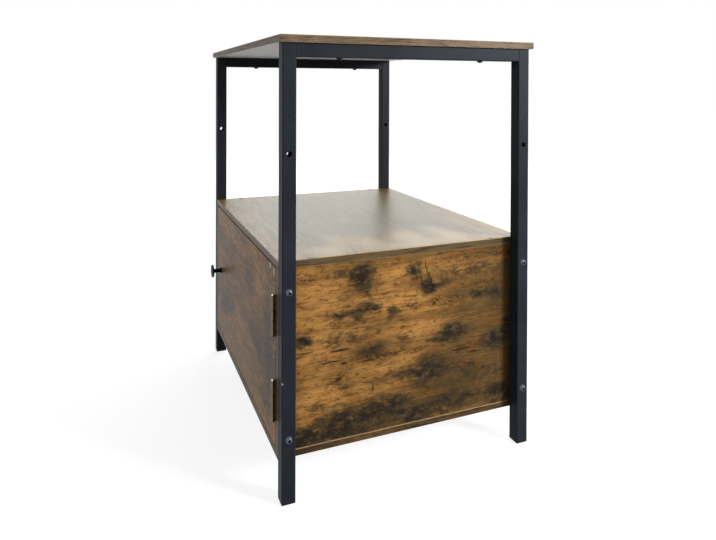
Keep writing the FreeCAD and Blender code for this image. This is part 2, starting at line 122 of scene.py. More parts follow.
world = bpy.data.worlds.new("white_studio")
bpy.context.scene.world = world
world.use_nodes = True
sky = world.node_tree
sky.nodes.clear()
WORLD_AS_LAMP = 0.25
level = add(sky, "MapRange", {"Value": seen_rays(sky), "To Min": WORLD_AS_LAMP, "To Max": 1.0})
white = add(sky, "Background", {"Color": linear("#ffffff"), "Strength": level})
add(sky, "OutputWorld", {"Surface": white})
print("the world as a lamp:", WORLD_AS_LAMP)

# %% Lamps
# Place and size of each panel in metres, and its power in watts.
LAMPS = {
    "key_panel": ((1.5, 1.2, 0.95), (0.45, 0.45), 42.0),
    "backdrop_panel": ((-2.4, 1.6, 1.7), (3.0, 1.6), 70.0),
    "glint_panel": ((1.2, -1.2, 1.4), (0.22, 0.22), 7.0),
}
AIM = Vector((0.0, 0.0, 0.35))
for name, (place, size, watts) in LAMPS.items():
    lamp = bpy.data.lights.new(name, "AREA")
    lamp.shape = "RECTANGLE"
    lamp.size, lamp.size_y = size
    lamp.energy = watts
    hung = bpy.data.objects.new(name, lamp)
    bpy.context.scene.collection.objects.link(hung)
    hung.location = place
    hung.rotation_euler = (AIM - Vector(place)).to_track_quat("-Z", "Y").to_euler()
print("lamps:", ", ".join(LAMPS))

# %% [markdown]
# ## The floor
# A sheet of pale paper, wide enough to reach past every view. It is a mesh of
# one face. A glow of its own, which only shows and lights nothing, lifts it to
# white and leaves the soft shadow at the feet. Far out, where the lamps do not
# reach, it glows more.

# %% Floor
FLOOR_HALF, FLOOR_DROP = 12.0, 0.5 * MM
paper = bpy.data.meshes.new("paper_floor")
corners = [(-1, -1), (1, -1), (1, 1), (-1, 1)]
spots = [(x * FLOOR_HALF, y * FLOOR_HALF, -FLOOR_DROP) for x, y in corners]
paper.from_pydata(spots, [], [(0, 1, 2, 3)])
floor = bpy.data.objects.new("paper_floor", paper)
bpy.context.scene.collection.objects.link(floor)
print("floor:", 2 * FLOOR_HALF, "m wide")

# %% White paper
# Metres from the middle, and how much the paper glows there.
PAPER_GLOW = {"From Min": 0.6, "From Max": 3.0, "To Min": 0.83, "To Max": 0.95}
white_paper = bpy.data.materials.new("white_paper")
white_paper.use_nodes = True
tree = white_paper.node_tree
tree.nodes.clear()
sheet_colour = add(tree, "BsdfDiffuse", {"Color": linear("#969696")})
spot = add(tree, "TexCoord", give="Object")
away = add(tree, "VectorMath", {0: spot}, give="Value", operation="LENGTH")
glow = add(tree, "MapRange", {"Value": away, **PAPER_GLOW})
glow = add(tree, "Math", {0: glow, 1: seen_rays(tree)}, operation="MULTIPLY")
glow = add(tree, "Emission", {"Color": linear("#ffffff"), "Strength": glow})
both = add(tree, "AddShader", {0: sheet_colour, 1: glow})
add(tree, "OutputMaterial", {"Surface": both})
floor.data.materials.append(white_paper)
print(white_paper.name, "glows up to", PAPER_GLOW["To Max"])

# %% [markdown]
# ## Starting a finish
# Every finish starts the same way: a material with one Principled shader, and
# the point and the surface direction in the piece's own space. Using the
# piece's own space keeps a pattern fixed to the door while the door swings.


# %% Finish helpers
def finish(name):
    """A material with a Principled shader: its tree, shader inputs, point in mm and direction."""
    made = bpy.data.materials.new(name)
    made.use_nodes = True
    tree = made.node_tree
    tree.nodes.clear()
    surface = add(tree, "BsdfPrincipled")
    add(tree, "OutputMaterial", {"Surface": surface})
    point = add(tree, "TexCoord", give="Object")
    point = add(tree, "VectorMath", {0: point, "Scale": 1 / MM}, operation="SCALE")
    facing = add(tree, "TexCoord", give="Normal")
    return made, tree, surface.node.inputs, point, facing


def dress(made, *names):
    """Puts a material on CAD nodes."""
    for name in names:
        nodes[name].data.materials.clear()
        nodes[name].data.materials.append(made)
    print(made.name, "on", ", ".join(names))


print("pieces to dress:", len(nodes))

# %% [markdown]
# ## Powder-coated steel
# The tube is sprayed with dry paint powder and baked, which leaves a satin skin
# with a faint orange peel, black with a little blue. Its gloss is low and even,
# because a white room on all sides would turn a shinier black to grey.
# A knock has broken the skin on the corner of the right front leg, and there
# bare steel shows.

# %% Powder coat
powder, tree, surface, point, _ = finish("powder_coated_steel_tube")
CLOUD_MM, PEEL_MM, PEEL_RELIEF_MM = 60, 1.6, 0.05
CHIP_PLACE, CHIP_MM = (244.6, -187.65, 158.0), 1.7
NOISE_MIDDLE = 0.5
cloud = add(tree, "TexNoise", {"Vector": point, "Scale": 1 / CLOUD_MM, "Detail": 3.0})
peel = add(tree, "TexNoise", {"Vector": point, "Scale": 1 / PEEL_MM, "Detail": 2.0})
tint = add(tree, "ValToRGB", {"Fac": cloud}, stops=[(0.3, "#202329"), (0.7, "#272b32")])
# The peel makes the rim of the chip uneven.
away = add(tree, "VectorMath", {0: point, 1: CHIP_PLACE}, give="Value", operation="DISTANCE")
away = add(tree, "Math", {0: away, 1: peel}, operation="ADD")
bare = add(tree, "Math", {0: away, 1: CHIP_MM + NOISE_MIDDLE}, operation="LESS_THAN")
tint = add(tree, "Mix", {"Factor": bare, 6: tint, 7: linear("#7f7f7d")}, **BLEND)
gloss = add(tree, "MapRange", {"Value": cloud, "To Min": 0.38, "To Max": 0.5})
skin = add(tree, "Bump", {"Strength": 0.25, "Distance": PEEL_RELIEF_MM * MM, "Height": peel})
tree.links.new(tint, surface["Base Color"])
tree.links.new(bare, surface["Metallic"])
tree.links.new(gloss, surface["Roughness"])
tree.links.new(skin, surface["Normal"])
surface["Specular IOR Level"].default_value = 0.05
TUBES = [f"{side}_{end}_leg" for side in ("left", "right") for end in ("front", "rear")]
dress(powder, *TUBES, "left_top_rail", "right_top_rail")

# %% [markdown]
# ## Rustic brown board
# The boards are chipboard faced with melamine: paper printed with old, smoked
# wood, sealed under clear resin. The print is amber brown with streaks along
# the board, dark smoky blots round the knots, thin cracks and a few saw marks.
# A picture of wood would be one way. We build the print from noise instead,
# stretched along the grain, because it needs no file and every board can have
# its own piece of it. Big marks are listed one by one for the three boards that
# show most, and drawn at random on the others.

# %% Marks on the right side
# Each mark: its middle along Y and up Z, half length, half height (mm), and strength.
RIGHT_SIDE_MARKS = {
    "amber": [
        (-132, 250, 42, 26, 0.9), (-134, 124, 36, 34, 0.8), (6, 200, 52, 22, 0.7),
        (113, 163, 24, 8, 0.7), (58, 277, 30, 10, 0.5), (-102, 206, 42, 12, 0.6),
        (-27, 258, 28, 20, 0.5), (-105, 174, 34, 13, 0.8), (100, 150, 30, 10, 0.8),
    ],
    "shade": [
        (108, 235, 85, 55, 0.5), (83, 150, 80, 45, 0.65), (108, 95, 100, 45, 0.85),
        # Painted shadow: (163, 170) here, (180, 180) on the next line and (165, 240) at the end are
        # the dark strip the rear leg casts on the side.
        (-22, 85, 130, 24, 0.65), (163, 170, 40, 110, 0.7), (-42, 170, 50, 18, 0.45),
        (-62, 100, 60, 20, 0.4), (180, 180, 12, 130, 0.85), (58, 120, 60, 30, 0.6),
        (118, 170, 70, 30, 0.5), (-82, 280, 60, 14, 0.45), (-77, 232, 50, 14, 0.4),
        (-2, 302, 200, 7, 0.6), (-52, 190, 60, 20, 0.4), (-122, 150, 60, 14, 0.3),
        (150, 292, 60, 12, 0.8), (30, 293, 90, 8, 0.5), (10, 208, 110, 9, 0.5),
        (-40, 128, 40, 12, 0.6), (-65, 66, 80, 12, 0.75), (140, 67, 45, 12, 0.75),
        (165, 240, 20, 60, 0.6),
    ],
    "smoke": [
        (-65, 276, 15, 17, 0.98), (-59, 292, 11, 9, 0.6), (-80, 276, 11, 9, 0.5),
        (-57, 256, 6, 9, 0.7), (-67, 232, 16, 10, 0.85), (-101, 226, 23, 7, 0.7),
        (-49, 235, 11, 5, 0.7), (-19, 221, 13, 8, 0.6), (-69, 218, 8, 5, 0.6),
        (-152, 199, 15, 8, 0.98), (-58, 202, 9, 4, 0.45), (-40, 199, 8, 4, 0.45),
        (-51, 174, 22, 11, 0.7), (-24, 159, 16, 6, 0.5), (17, 278, 13, 14, 0.7),
        (37, 250, 14, 10, 0.92), (57, 253, 17, 6, 0.7), (124, 233, 14, 9, 0.85),
        (156, 228, 19, 16, 0.75), (121, 266, 72, 14, 0.45), (82, 179, 27, 13, 0.95),
        (56, 171, 17, 6, 0.8), (156, 156, 26, 16, 0.95), (176, 176, 12, 16, 0.85),
        (46, 134, 29, 17, 0.85), (-6, 133, 30, 10, 0.55), (27, 119, 25, 15, 0.6),
        (-139, 75, 36, 10, 0.98), (-93, 83, 37, 14, 0.92), (-45, 85, 36, 19, 0.95),
        (-11, 91, 24, 14, 0.9), (16, 68, 36, 15, 0.8), (58, 70, 45, 15, 0.6),
        (98, 80, 47, 14, 0.6), (166, 75, 25, 16, 0.98), (110, 113, 65, 20, 0.45),
        (-106, 286, 37, 7, 0.45), (-164, 70, 22, 15, 0.95), (-110, 64, 60, 8, 0.9),
    ],
    "dry": [
        (-114, 168, 34, 9, 0.6), (-52, 163, 36, 9, 0.9), (18, 163, 34, 7, 0.8),
        (106, 152, 40, 13, 0.6), (38, 262, 14, 20, 0.7), (138, 245, 30, 10, 0.7),
        (-152, 185, 18, 5, 0.8), (-97, 130, 30, 14, 0.5),
    ],
    "cracks": [
        (-100, 180, 19, 2, 0.9), (-152, 184, 15, 1.3, 0.7), (-114, 166, 20, 1.3, 0.9),
        (-94, 161, 7, 2, 0.8), (-11, 165, 29, 1.3, 0.5), (-102, 141, 6, 3, 0.85),
        (-50, 122, 1.5, 12, 0.7), (7, 241, 15, 1.3, 0.6), (95, 151, 22, 3, 0.75),
        (118, 144, 15, 2, 0.75), (34, 284, 1.8, 7, 0.8), (37, 276, 1.8, 7, 0.8),
        (40, 268, 1.8, 7, 0.8), (43, 259, 2.0, 7, 0.9), (46, 250, 2.2, 8, 0.9),
        (28, 258, 1.6, 12, 0.7), (-61, 159, 18, 2, 0.7), (107, 128, 12, 2, 0.6),
        (-83, 116, 14, 3, 0.5),
    ],
}
print("marks on the right side:", {kind: len(rows) for kind, rows in RIGHT_SIDE_MARKS.items()})

# %% Marks on the door and the lid
# On the door the middle is along X and up Z. The painted glints are two light spots of painted
# highlight at the door's top corner by the hinge.
DOOR_MARKS = {
    "amber": [
        (98, 278, 50, 16, 0.9), (141, 258, 34, 22, 0.6), (52, 83, 50, 16, 0.6),
        (-57, 95, 50, 16, 0.5),
    ],
    "shade": [
        (-120, 220, 90, 60, 0.5), (-25, 209, 60, 40, 0.3), (110, 160, 60, 50, 0.5),
        (150, 90, 50, 30, 0.4), (-150, 110, 60, 40, 0.4), (20, 130, 60, 30, 0.3),
    ],
    "smoke": [
        (124, 154, 26, 24, 0.8), (79, 166, 24, 17, 0.65), (-150, 132, 44, 22, 0.6),
        (-60, 252, 36, 16, 0.5), (-185, 250, 24, 20, 0.6), (150, 96, 30, 14, 0.5),
        # The smoke at (180, 170) darkens the door along its hinge side.
        (10, 196, 30, 12, 0.4), (180, 170, 34, 90, 0.8), (60, 240, 40, 30, 0.5),
        (-90, 150, 50, 26, 0.6),
    ],
    "painted_glints": [(186, 295.5, 5, 4.5, 1.0), (206, 293.5, 4, 5, 1.0)],
}
# On the cabinet's lid it is along X and along Y.
LID_MARKS = {
    "amber": [
        (155, 5, 40, 46, 0.7), (160, 78, 40, 46, 0.8), (190, 148, 30, 30, 0.5),
        (192, -62, 34, 60, 0.6),
    ],
    # Painted light: light patches on the lid's right part, where more light falls on it.
    "painted_light": [
        (176, 34, 46, 30, 0.8), (196, 104, 40, 34, 0.8), (190, -30, 44, 26, 0.8),
        (202, -112, 36, 34, 0.9), (140, 98, 34, 22, 0.6), (206, 164, 34, 24, 0.7),
        (150, -78, 40, 22, 0.6), (208, -168, 30, 18, 0.8), (212, 20, 20, 60, 0.7),
    ],
    "shade": [
        (-120, -62, 130, 110, 0.95), (-100, 118, 140, 100, 0.95), (20, -72, 110, 90, 0.9),
        (60, 98, 110, 80, 0.9), (120, -132, 100, 60, 0.5), (60, 18, 120, 80, 0.8),
    ],
    "smoke": [
        (79, -16, 36, 24, 0.8), (84, 122, 36, 26, 0.8), (173, -107, 26, 20, 0.4),
        (19, -174, 40, 16, 0.6), (-140, 18, 44, 30, 0.5), (-60, -122, 40, 24, 0.5),
        (-40, 168, 50, 20, 0.5),
    ],
}
print("marks on the door:", {kind: len(rows) for kind, rows in DOOR_MARKS.items()})
print("marks on the lid:", {kind: len(rows) for kind, rows in LID_MARKS.items()})

# %% Random marks
# For each kind: how many, shortest and longest half length (mm), flattest and roundest shape.
MARK_SPREAD = {
    "amber": (9, 20, 60, 0.4, 0.7),
    "shade": (7, 40, 100, 0.35, 0.7),
    "smoke": (30, 6, 32, 0.3, 0.7),
    "cracks": (14, 8, 28, 0.06, 0.12),
}
MARK_STRENGTH = (0.5, 0.95)


def random_marks(seed, half_run, half_rise, mid_rise=0):
    """Marks of each kind scattered over a board of that half length and half height, in mm."""
    draw = random.Random(seed)
    marks = {}
    for kind, (count, shortest, longest, flattest, roundest) in MARK_SPREAD.items():
        marks[kind] = []
        for _ in range(count):
            run = draw.uniform(-half_run, half_run)
            rise = mid_rise + draw.uniform(-half_rise, half_rise)
            long = draw.uniform(shortest, longest)
            high = long * draw.uniform(flattest, roundest)
            marks[kind].append((run, rise, long, high, draw.uniform(*MARK_STRENGTH)))
    return marks


print("random marks on a board:", sum(row[0] for row in MARK_SPREAD.values()))

# %% [markdown]
# ### Directions of the print
# The print needs its own directions: run goes along the grain and rise across
# it. On the end of a board the edging strip is wrapped round, so there the grain
# turns to run along the edge. Two masks come with it: the narrow sides, which
# wear the edging, and the small bevels between two sides, where it rubs through.
# How far a point looks along each axis tells these apart.

# %% Directions
END_FACING, NARROW_FACING, BEVEL_FACING = 0.8, 0.3, 0.9


def turn_to_grain(tree, point, facing, axes):
    """The point as run, rise and depth in mm, and masks of a board's narrow sides and bevels."""
    run, rise, deep = ("XYZ".index(axis) for axis in axes)
    parts = add(tree, "SeparateXYZ", {0: point}).node.outputs
    face = add(tree, "CombineXYZ", {0: parts[run], 1: parts[rise], 2: parts[deep]})
    end = add(tree, "CombineXYZ", {0: parts[rise], 1: parts[deep], 2: parts[run]})
    sides = add(tree, "VectorMath", {0: facing}, operation="ABSOLUTE")
    sides = add(tree, "SeparateXYZ", {0: sides}).node.outputs
    on_end = add(tree, "Math", {0: sides[run], 1: END_FACING}, operation="GREATER_THAN")
    flat = add(tree, "Mix", {"Factor": on_end, 4: face, 5: end}, give=1, data_type="VECTOR")
    narrow = add(tree, "Math", {0: sides[deep], 1: NARROW_FACING}, operation="LESS_THAN")
    most = add(tree, "Math", {0: sides[0], 1: sides[1]}, operation="MAXIMUM")
    most = add(tree, "Math", {0: most, 1: sides[2]}, operation="MAXIMUM")
    bevel = add(tree, "Math", {0: most, 1: BEVEL_FACING}, operation="LESS_THAN")
    return flat, narrow, bevel


print("a bevel looks less than", BEVEL_FACING, "along every axis")

# %% [markdown]
# ### Noise of the print
# Each field is noise with blots of a length along the grain and a width across
# it: dividing the point by a length in mm makes the noise that long. Before
# that, warps bend the ground that the noise is drawn on, so streaks wander and
# blots get torn edges.

# %% Grounds of the print
# Warps: the ground that is bent, length, width and the reach along and across (mm).
WARPS = {
    "wavy": ("place", 150, 50, (0, 22, 0)),
    "torn": ("flat", 26, 14, (26, 20, 0)),
    "ragged": ("torn", 8, 5, (9, 7, 0)),
    "frayed": ("flat", 14, 6, (8, 5, 0)),
}
WARP_DETAIL = 4.0


def print_grounds(tree, flat, start):
    """The board's own point, its place in the long print, and the grounds that the warps bend."""
    ground = {"flat": flat, "place": add(tree, "VectorMath", {0: flat, 1: start}, operation="ADD")}
    for warp, (bent, long, wide, reach) in WARPS.items():
        size = add(tree, "VectorMath", {0: ground["place"], 1: (long, wide, wide)}, operation="DIVIDE")
        shake = add(tree, "TexNoise", {"Vector": size, "Scale": 1.0, "Detail": WARP_DETAIL}, "Color")
        shake = add(tree, "VectorMath", {0: shake, 1: [NOISE_MIDDLE] * 3}, operation="SUBTRACT")
        moved = {0: shake, 1: reach, 2: ground[bent]}
        ground[warp] = add(tree, "VectorMath", moved, operation="MULTIPLY_ADD")
    return ground


print("warps:", ", ".join(WARPS))

# %% Fields of the print
# Fields: ground, length and width (mm), detail. Streaks of the real 1 mm would
# vanish at this picture size, so they are drawn coarser.
FIELDS = {
    "tone": ("wavy", 140, 30, 5.0),
    "ember": ("wavy", 34, 11, 4.0),
    "grit": ("wavy", 10, 4, 5.0),
    "fleck": ("place", 5, 3, 3.0),
    "haze": ("place", 110, 50, 4.0),
    "clouds": ("place", 95, 42, 5.0),
    "mottle": ("place", 12, 7, 4.0),
    "streak": ("wavy", 50, 2.4, 3.0),
    "thread": ("wavy", 60, 3.0, 3.0),
    "line": ("wavy", 20, 6, 3.0),
    "dryness": ("place", 80, 26, 3.0),
    "rub": ("place", 25, 25, 3.0),
}
FIELD_ROUGHNESS = 0.68


def print_fields(tree, ground):
    """The noise of each field, by name."""
    mask = {}
    for field, (bent, long, wide, detail) in FIELDS.items():
        size = add(tree, "VectorMath", {0: ground[bent], 1: (long, wide, wide)}, operation="DIVIDE")
        noise = {"Vector": size, "Scale": 1.0, "Detail": detail, "Roughness": FIELD_ROUGHNESS}
        mask[field] = add(tree, "TexNoise", noise)
    return mask


print("fields:", ", ".join(FIELDS))

# %% [markdown]
# ### Laying the marks
# A mark is an oval on the bent ground: the distance from its middle, counted in
# half sizes, fades it out. Marks of one kind are joined by multiplying what each
# of them leaves clear, so that no seam shows where two meet.

# %% Laying marks
# The ground that a kind of mark lies on, and where it starts and ends to fade, in half sizes.
MARK_KINDS = {
    "amber": ("torn", 0.2, 1.7),
    "shade": ("torn", 0.1, 1.6),
    "smoke": ("ragged", 0.0, 1.75),
    "dry": ("torn", 0.4, 1.3),
    "painted_light": ("torn", 0.1, 1.6),
    "cracks": ("frayed", 0.5, 1.2),
    "painted_glints": ("flat", 0.6, 1.0),
}


def lay_marks(tree, ground, marks):
    """A mask for each kind of mark, by name."""
    mask = {}
    for kind, (bent, full, gone) in MARK_KINDS.items():
        clear = 1.0
        for run, rise, half_run, half_rise, strength in marks.get(kind, []):
            size = (1 / half_run, 1 / half_rise, 0)
            offset = (-run / half_run, -rise / half_rise, 0)
            moved = {0: ground[bent], 1: size, 2: offset}
            away = add(tree, "VectorMath", moved, operation="MULTIPLY_ADD")
            away = add(tree, "VectorMath", {0: away}, "Value", operation="LENGTH")
            fade = {"Value": away, "From Min": full, "From Max": gone, "To Min": 1 - strength}
            left = add(tree, "MapRange", fade, interpolation_type="SMOOTHSTEP")
            clear = add(tree, "Math", {0: clear, 1: left}, operation="MULTIPLY")
        mask[kind] = add(tree, "Math", {0: 1.0, 1: clear}, operation="SUBTRACT")
    return mask


print("kinds of mark:", ", ".join(MARK_KINDS))

# %% [markdown]
# ### Smoke and cracks
# Smoke gathers in the clouds of the print as well as in the placed blots, and it
# is uneven inside a blot. A crack could be drawn as a line. Noise does it too:
# the places where a field crosses its middle form thin, wandering lines, and
# they are let through in the dry parts of the wood only.

# %% Smoke and cracks
CLOUD_SMOKE = {"From Min": 0.52, "From Max": 0.8, "To Max": 0.7}
UNEVEN_SMOKE = {"From Min": 0.3, "From Max": 0.7, "To Min": 0.2, "To Max": 1.8}
CRACK_LINE = {"From Min": 0.012, "From Max": 0.045, "To Min": 1.0, "To Max": 0.0}
DRY_WOOD = {"From Min": 0.55, "From Max": 0.64, "To Max": 0.8}


def smoke_and_cracks(tree, mask):
    """Spreads the smoke into the clouds, and draws the cracks."""
    clouds = add(tree, "MapRange", {"Value": mask["clouds"], **CLOUD_SMOKE})
    smoke = add(tree, "Math", {0: mask["smoke"], 1: clouds}, operation="MAXIMUM")
    uneven = add(tree, "MapRange", {"Value": mask["mottle"], **UNEVEN_SMOKE})
    mask["smoke"] = add(tree, "Math", {0: smoke, 1: uneven}, operation="MULTIPLY")

    line = add(tree, "Math", {0: mask["line"], 1: NOISE_MIDDLE}, operation="SUBTRACT")
    line = add(tree, "Math", {0: line}, operation="ABSOLUTE")
    line = add(tree, "MapRange", {"Value": line, **CRACK_LINE})
    dry = add(tree, "MapRange", {"Value": mask["dryness"], **DRY_WOOD})
    dry = add(tree, "Math", {0: dry, 1: mask["dry"]}, operation="MAXIMUM")
    line = add(tree, "Math", {0: line, 1: dry}, operation="MULTIPLY")
    mask["crack"] = add(tree, "Math", {0: line, 1: mask["cracks"]}, operation="MAXIMUM")


print("smoke starts where clouds pass", CLOUD_SMOKE["From Min"])

# %% [markdown]
# ### Colours of the print
# The layers are laid over the amber tone one by one: where a field goes from
# one level to the other, a colour comes in, up to the given share. Last, a share
# of painted sheen mixes the print toward a dull olive brown, which softens it
# the way a veil of reflection from the resin does.

# %% Print colours
# A new ramp has two stops, so the first two rows are its ends.
TONE_STOPS = [
    (0.28, "#5d4628"), (0.72, "#a67742"), (0.40, "#845f33"), (0.50, "#a2743d"), (0.60, "#b78548"),
]
# Layers: field, the levels where its colour starts and is full, the share, the colour.
LAYERS = [
    ("amber", 0.0, 1.0, 0.6, "#bc894b"),
    ("grit", 0.44, 0.28, 0.4, "#c08d4c"),
    ("shade", 0.0, 1.0, 0.88, "#493820"),
    ("ember", 0.50, 0.66, 0.5, "#83491f"),
    ("haze", 0.50, 0.70, 0.5, "#57462a"),
    ("grit", 0.50, 0.66, 0.75, "#483119"),
    ("thread", 0.56, 0.74, 0.35, "#c1934f"),
    ("smoke", 0.05, 0.45, 0.7, "#4f3f26"),
    ("smoke", 0.25, 0.75, 0.8, "#372d20"),
    ("smoke", 0.60, 1.10, 0.92, "#211d19"),
    ("streak", 0.50, 0.30, 0.55, "#352713"),
    ("fleck", 0.58, 0.72, 0.65, "#2a1e10"),
    ("crack", 0.0, 1.0, 0.9, "#1d160f"),
    # Painted light on the lid.
    ("painted_light", 0.0, 1.0, 0.95, "#cdb48c"),
    # Painted highlight: the glints on the door.
    ("painted_glints", 0.0, 1.0, 0.95, "#d8ccb4"),
]
# Painted sheen: a dull olive brown that the print is mixed toward, to soften it as a veil of
# reflection would.
PAINTED_SHEEN_TINT = "#605a30"


def print_colour(tree, mask, painted_sheen):
    """The colour of the print under its resin, softened by its share of painted sheen."""
    colour = add(tree, "ValToRGB", {"Fac": mask["tone"]}, stops=TONE_STOPS)
    for field, low, high, most, code in LAYERS:
        reach = {"Value": mask[field], "From Min": low, "From Max": high, "To Max": most}
        share = add(tree, "MapRange", reach, interpolation_type="SMOOTHSTEP")
        colour = add(tree, "Mix", {"Factor": share, 6: colour, 7: linear(code)}, **BLEND)
    return add(tree, "Mix", {"Factor": painted_sheen, 6: colour, 7: linear(PAINTED_SHEEN_TINT)}, **BLEND)


print("layers over the tone:", len(LAYERS))

# %% [markdown]
# ### Edges of a board
# The narrow sides are closed with a glued strip, a plainer print with dark
# lines. Its bevels are rubbed through to the creamy core in patches. On the
# cabinet's floor panel a thin strip along the upper edge shows the creamy core
# too, partly as wear and partly as painted highlight where that edge catches
# the light. Where two boards meet, painted shade darkens the corners, and
# ambient occlusion finds these corners by asking how shut in a point is.

# %% Edging, wear and painted shade
EDGING_SHARE, EDGING_LINE = 0.75, "#2a1f14"
EDGING_LINES = {"From Min": 0.52, "From Max": 0.36, "To Max": 0.7}
BOARD_CORE, RUB_FROM, RUB_FULL, LEAST_RUB = "#cbb690", 0.3, 0.5, 0.4
# Painted shade: a near black brown laid in the corners that ambient occlusion finds.
BOARD_PAINTED_SHADE, PAINTED_SHADE_MM, AO_SAMPLES = "#1c140b", 14, 8
BOARD_SHADE_LEVEL = {"From Min": 0.9, "From Max": 0.45, "To Max": 0.6}


def close_edges(tree, colour, mask, narrow, edging):
    """The colour with the edging strip on the narrow sides."""
    strip = add(tree, "Math", {0: narrow, 1: EDGING_SHARE}, operation="MULTIPLY")
    colour = add(tree, "Mix", {"Factor": strip, 6: colour, 7: linear(edging)}, **BLEND)
    lines = add(tree, "MapRange", {"Value": mask["streak"], **EDGING_LINES})
    lines = add(tree, "Math", {0: lines, 1: narrow}, operation="MULTIPLY")
    return add(tree, "Mix", {"Factor": lines, 6: colour, 7: linear(EDGING_LINE)}, **BLEND)


def wear_and_painted_light(tree, colour, mask, worn_and_lit, wear):
    """The colour with the creamy core on rubbed bevels and on the painted highlight strip, and painted
    shade darkening the corners.
    """
    # Along the floor panel's upper edge this creamy core is painted highlight as well as wear.
    patch = {"From Min": RUB_FROM, "From Max": RUB_FULL, "To Min": LEAST_RUB * wear, "To Max": wear}
    rubbed = add(tree, "MapRange", {"Value": mask["rub"], **patch})
    rubbed = add(tree, "Math", {0: rubbed, 1: worn_and_lit}, operation="MULTIPLY")
    colour = add(tree, "Mix", {"Factor": rubbed, 6: colour, 7: linear(BOARD_CORE)}, **BLEND)
    # Painted shade: corners where boards meet are darkened toward near black.
    open_to_air = add(tree, "AmbientOcclusion", {"Distance": PAINTED_SHADE_MM * MM}, "AO", samples=AO_SAMPLES)
    painted_shade = add(tree, "MapRange", {"Value": open_to_air, **BOARD_SHADE_LEVEL})
    return add(tree, "Mix", {"Factor": painted_shade, 6: colour, 7: linear(BOARD_PAINTED_SHADE)}, **BLEND)


print("edging covers", EDGING_SHARE, "of the print, grime reaches", PAINTED_SHADE_MM, "mm")

# %% [markdown]
# ### One board
# Now a board can be put together. Melamine resin is smooth and satin, with the
# streaks and cracks pressed in a little. Faces that look at the floor have plain
# grey backing paper, which is cheaper than print. Resin reflects about 4 percent
# of what is in front of it, but here that is a white room on all sides, which
# would veil the print, so the shine is matched lower.

# %% Printed board
PLAIN_BACKING, DOWN_FACING = [(0.3, "#d2d3d2"), (0.7, "#dedfde")], -0.8
RESIN_GLOSS = {"From Min": 0.25, "From Max": 0.75, "To Min": 0.42, "To Max": 0.34}
PRESSED = {"Strength": 0.35, "Distance": 0.12 * MM}
# No board reaches this depth, so without the strip only the bevels are rubbed through.
PLAIN_SHINE, NO_LIT_WEAR_BAND = 0.06, 1000.0


def printed_board(
    name, axes, start, edging, wear, marks, shine=PLAIN_SHINE, painted_sheen=0.0, backed=False, lit_wear_band=NO_LIT_WEAR_BAND,
):
    """Printed melamine on a board: axes of run, rise and depth, start in the long print (mm),
    edging colour, wear of the bevels, marks, shine of the resin, share of painted sheen that
    softens the print, backing paper below, and the depth (mm) past which the narrow sides show
    the creamy core, partly as wear and partly as painted highlight."""
    made, tree, surface, point, facing = finish(name)
    flat, narrow, bevel = turn_to_grain(tree, point, facing, axes)
    ground = print_grounds(tree, flat, start)
    mask = {**print_fields(tree, ground), **lay_marks(tree, ground, marks)}
    smoke_and_cracks(tree, mask)
    colour = print_colour(tree, mask, painted_sheen)
    colour = close_edges(tree, colour, mask, narrow, edging)

    # Above this depth the narrow sides show the creamy core: wear, and painted highlight where the
    # upper edge catches the light.
    depth = add(tree, "SeparateXYZ", {0: point}, give="XYZ".index(axes[2]))
    worn_and_lit = add(tree, "Math", {0: depth, 1: lit_wear_band}, operation="GREATER_THAN")
    worn_and_lit = add(tree, "Math", {0: worn_and_lit, 1: narrow}, operation="MULTIPLY")
    worn_and_lit = add(tree, "Math", {0: worn_and_lit, 1: bevel}, operation="MAXIMUM")
    colour = wear_and_painted_light(tree, colour, mask, worn_and_lit, wear)

    if backed:
        down = add(tree, "SeparateXYZ", {0: facing}, give=2)
        down = add(tree, "Math", {0: down, 1: DOWN_FACING}, operation="LESS_THAN")
        fibre = add(tree, "ValToRGB", {"Fac": mask["mottle"]}, stops=PLAIN_BACKING)
        colour = add(tree, "Mix", {"Factor": down, 6: colour, 7: fibre}, **BLEND)

    gloss = add(tree, "MapRange", {"Value": mask["streak"], **RESIN_GLOSS})
    dents = add(tree, "Math", {0: mask["streak"], 1: mask["crack"]}, operation="SUBTRACT")
    relief = add(tree, "Bump", {"Height": dents, **PRESSED})
    tree.links.new(colour, surface["Base Color"])
    tree.links.new(gloss, surface["Roughness"])
    tree.links.new(relief, surface["Normal"])
    surface["Specular IOR Level"].default_value = shine
    return made


print("resin roughness from", RESIN_GLOSS["To Max"], "to", RESIN_GLOSS["To Min"])

# %% [markdown]
# ### Dressing the boards
# Grain goes the long way on each board: across the stand on the top, the door
# and the cabinet's floor and lid, and front to back on its sides. Each board
# starts at another place in the print, so that no two look alike. The lid's resin
# is polished most, and painted sheen softens its print, while the door's resin
# is a bit duller.

# %% Boards
BOARDS = {
    "top_board": dict(
        axes="XYZ", start=(900, 352, 40), edging="#605b52", wear=0.3, backed=True,
        marks=random_marks(3, 240, 195),
    ),
    "cabinet_top_panel": dict(
        axes="XYZ", start=(-1400, 902, 300), edging="#554732", wear=0.4, shine=0.1, painted_sheen=0.55,
        marks=LID_MARKS,
    ),
    "cabinet_bottom_panel": dict(
        axes="XYZ", start=(2100, -598, 110), edging="#282821", wear=0.38, backed=True, lit_wear_band=56.7,
        marks=random_marks(12, 220, 190),
    ),
    "cabinet_left_side": dict(
        axes="YZX", start=(-698, 2300, 900), edging="#635847", wear=0.2,
        marks=random_marks(5, 180, 120, 180),
    ),
    "cabinet_right_side": dict(
        axes="YZX", start=(302, 120, -40), edging="#635847", wear=0.2, marks=RIGHT_SIDE_MARKS,
    ),
    "door_panel": dict(
        axes="XZY", start=(1700, 1500, 502), edging="#635847", wear=0.3, shine=0.052, marks=DOOR_MARKS,
    ),
}
for name, settings in BOARDS.items():
    dress(printed_board("printed_melamine_" + name, **settings), name)

